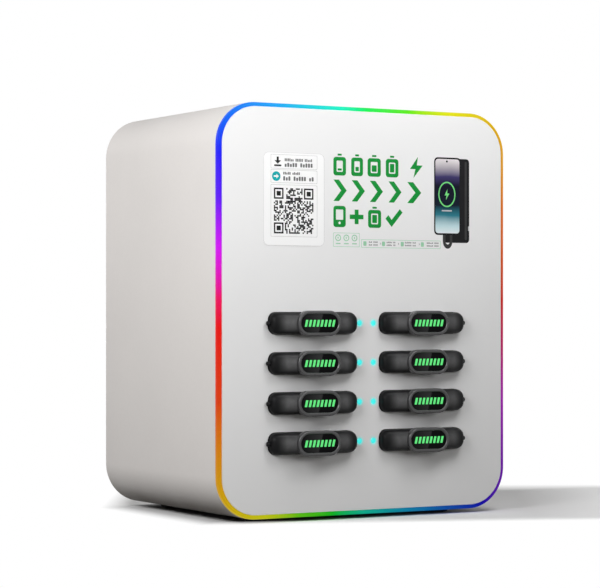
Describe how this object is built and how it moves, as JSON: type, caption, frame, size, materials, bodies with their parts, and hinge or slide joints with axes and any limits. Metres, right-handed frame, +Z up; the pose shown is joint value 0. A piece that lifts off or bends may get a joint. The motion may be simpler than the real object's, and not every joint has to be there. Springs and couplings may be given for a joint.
{
  "type": "phone charging kiosk",
  "caption": "Countertop power-bank rental station: round-cornered white cabinet with a lit rainbow rim, slots for sliding power banks, printed front and rear power inlet.",
  "frame": {"origin": "under the middle of the whole object, on the surface that it stands on", "axes": "+Z up, the front faces -Y, +X to the right seen from the front"},
  "size_m": [0.24, 0.1978, 0.294],
  "materials": {
    "shell_white": "fine moulded texture, warm white",
    "panel_white": "smooth white face with a green print",
    "light_guide": "clear strip lit in a rainbow round the edge",
    "strip_board": "white strip with small light chips",
    "label_white": "printed white label",
    "rack_grey": "dark grey moulded rack",
    "black_plastic": "black moulded",
    "board_green": "green circuit board",
    "indicator_cyan": "lit cyan light guide",
    "cover_grey": "moulded, light warm grey",
    "supply_metal": "folded sheet, satin",
    "rocker_black": "polished black",
    "steel": "turned and plated",
    "foot_rubber": "black rubber",
    "bank_black": "satin black moulding",
    "window_black": "black display window with a green gauge",
    "button_black": "satin black"
  },
  "bodies": {
    "cabinet": {"outer_shell": "shell_white", "foot_front_left": "foot_rubber", "foot_front_right": "foot_rubber", "foot_rear_left": "foot_rubber", "foot_rear_right": "foot_rubber", "front_panel": "panel_white", "light_guide_ring": "light_guide", "light_strip": "strip_board", "instruction_label": "label_white", "left_rack": "rack_grey", "right_rack": "rack_grey", "left_lock_housings": "black_plastic", "right_lock_housings": "black_plastic", "left_contact_board": "board_green", "right_contact_board": "board_green", "left_indicator_guide": "indicator_cyan", "right_indicator_guide": "indicator_cyan", "rear_cover": "cover_grey", "rear_cover_screw_1": "steel", "rear_cover_screw_2": "steel", "rear_cover_screw_3": "steel", "rear_cover_screw_4": "steel", "power_inlet": "black_plastic", "switch_housing": "black_plastic", "main_board": "board_green", "power_supply": "supply_metal"},
    "bank_1": {"bank_1_case": "bank_black", "bank_1_window": "window_black"},
    "bank_button_1": {"bank_1_button": "button_black"},
    "latch_1": {"lock_latch_1": "steel"},
    "bank_2": {"bank_2_case": "bank_black", "bank_2_window": "window_black"},
    "bank_button_2": {"bank_2_button": "button_black"},
    "latch_2": {"lock_latch_2": "steel"},
    "bank_3": {"bank_3_case": "bank_black", "bank_3_window": "window_black"},
    "bank_button_3": {"bank_3_button": "button_black"},
    "latch_3": {"lock_latch_3": "steel"},
    "bank_4": {"bank_4_case": "bank_black", "bank_4_window": "window_black"},
    "bank_button_4": {"bank_4_button": "button_black"},
    "latch_4": {"lock_latch_4": "steel"},
    "bank_5": {"bank_5_case": "bank_black", "bank_5_window": "window_black"},
    "bank_button_5": {"bank_5_button": "button_black"},
    "latch_5": {"lock_latch_5": "steel"},
    "bank_6": {"bank_6_case": "bank_black", "bank_6_window": "window_black"},
    "bank_button_6": {"bank_6_button": "button_black"},
    "latch_6": {"lock_latch_6": "steel"},
    "bank_7": {"bank_7_case": "bank_black", "bank_7_window": "window_black"},
    "bank_button_7": {"bank_7_button": "button_black"},
    "latch_7": {"lock_latch_7": "steel"},
    "bank_8": {"bank_8_case": "bank_black", "bank_8_window": "window_black"},
    "bank_button_8": {"bank_8_button": "button_black"},
    "latch_8": {"lock_latch_8": "steel"},
    "rocker": {"switch_rocker": "rocker_black"}
  },
  "joints": [
    {"name": "bank_1_slide", "type": "slide", "parent": "cabinet", "child": "bank_1", "axis": [0, -1, 0], "range_m": [0, 0.13]},
    {"name": "bank_1_button_press", "type": "slide", "parent": "bank_1", "child": "bank_button_1", "axis": [1, 0, 0], "range_m": [0, 0.0006], "stiffness_N_per_m": 400},
    {"name": "lock_latch_1_slide", "type": "slide", "parent": "cabinet", "child": "latch_1", "axis": [1, 0, 0], "range_m": [0, 0.0032], "stiffness_N_per_m": 150},
    {"name": "bank_2_slide", "type": "slide", "parent": "cabinet", "child": "bank_2", "axis": [0, -1, 0], "range_m": [0, 0.13]},
    {"name": "bank_2_button_press", "type": "slide", "parent": "bank_2", "child": "bank_button_2", "axis": [1, 0, 0], "range_m": [0, 0.0006], "stiffness_N_per_m": 400},
    {"name": "lock_latch_2_slide", "type": "slide", "parent": "cabinet", "child": "latch_2", "axis": [1, 0, 0], "range_m": [0, 0.0032], "stiffness_N_per_m": 150},
    {"name": "bank_3_slide", "type": "slide", "parent": "cabinet", "child": "bank_3", "axis": [0, -1, 0], "range_m": [0, 0.13]},
    {"name": "bank_3_button_press", "type": "slide", "parent": "bank_3", "child": "bank_button_3", "axis": [1, 0, 0], "range_m": [0, 0.0006], "stiffness_N_per_m": 400},
    {"name": "lock_latch_3_slide", "type": "slide", "parent": "cabinet", "child": "latch_3", "axis": [1, 0, 0], "range_m": [0, 0.0032], "stiffness_N_per_m": 150},
    {"name": "bank_4_slide", "type": "slide", "parent": "cabinet", "child": "bank_4", "axis": [0, -1, 0], "range_m": [0, 0.13]},
    {"name": "bank_4_button_press", "type": "slide", "parent": "bank_4", "child": "bank_button_4", "axis": [1, 0, 0], "range_m": [0, 0.0006], "stiffness_N_per_m": 400},
    {"name": "lock_latch_4_slide", "type": "slide", "parent": "cabinet", "child": "latch_4", "axis": [1, 0, 0], "range_m": [0, 0.0032], "stiffness_N_per_m": 150},
    {"name": "bank_5_slide", "type": "slide", "parent": "cabinet", "child": "bank_5", "axis": [0, -1, 0], "range_m": [0, 0.13]},
    {"name": "bank_5_button_press", "type": "slide", "parent": "bank_5", "child": "bank_button_5", "axis": [-1, 0, 0], "range_m": [0, 0.0006], "stiffness_N_per_m": 400},
    {"name": "lock_latch_5_slide", "type": "slide", "parent": "cabinet", "child": "latch_5", "axis": [-1, 0, 0], "range_m": [0, 0.0032], "stiffness_N_per_m": 150},
    {"name": "bank_6_slide", "type": "slide", "parent": "cabinet", "child": "bank_6", "axis": [0, -1, 0], "range_m": [0, 0.13]},
    {"name": "bank_6_button_press", "type": "slide", "parent": "bank_6", "child": "bank_button_6", "axis": [-1, 0, 0], "range_m": [0, 0.0006], "stiffness_N_per_m": 400},
    {"name": "lock_latch_6_slide", "type": "slide", "parent": "cabinet", "child": "latch_6", "axis": [-1, 0, 0], "range_m": [0, 0.0032], "stiffness_N_per_m": 150},
    {"name": "bank_7_slide", "type": "slide", "parent": "cabinet", "child": "bank_7", "axis": [0, -1, 0], "range_m": [0, 0.13]},
    {"name": "bank_7_button_press", "type": "slide", "parent": "bank_7", "child": "bank_button_7", "axis": [-1, 0, 0], "range_m": [0, 0.0006], "stiffness_N_per_m": 400},
    {"name": "lock_latch_7_slide", "type": "slide", "parent": "cabinet", "child": "latch_7", "axis": [-1, 0, 0], "range_m": [0, 0.0032], "stiffness_N_per_m": 150},
    {"name": "bank_8_slide", "type": "slide", "parent": "cabinet", "child": "bank_8", "axis": [0, -1, 0], "range_m": [0, 0.13]},
    {"name": "bank_8_button_press", "type": "slide", "parent": "bank_8", "child": "bank_button_8", "axis": [-1, 0, 0], "range_m": [0, 0.0006], "stiffness_N_per_m": 400},
    {"name": "lock_latch_8_slide", "type": "slide", "parent": "cabinet", "child": "latch_8", "axis": [-1, 0, 0], "range_m": [0, 0.0032], "stiffness_N_per_m": 150},
    {"name": "switch_rocker_tilt", "type": "hinge", "parent": "cabinet", "child": "rocker", "pos_m": [-0.02, 0.09495, 0.031], "axis": [-1, 0, 0], "range_deg": [0, 14]}
  ]
}
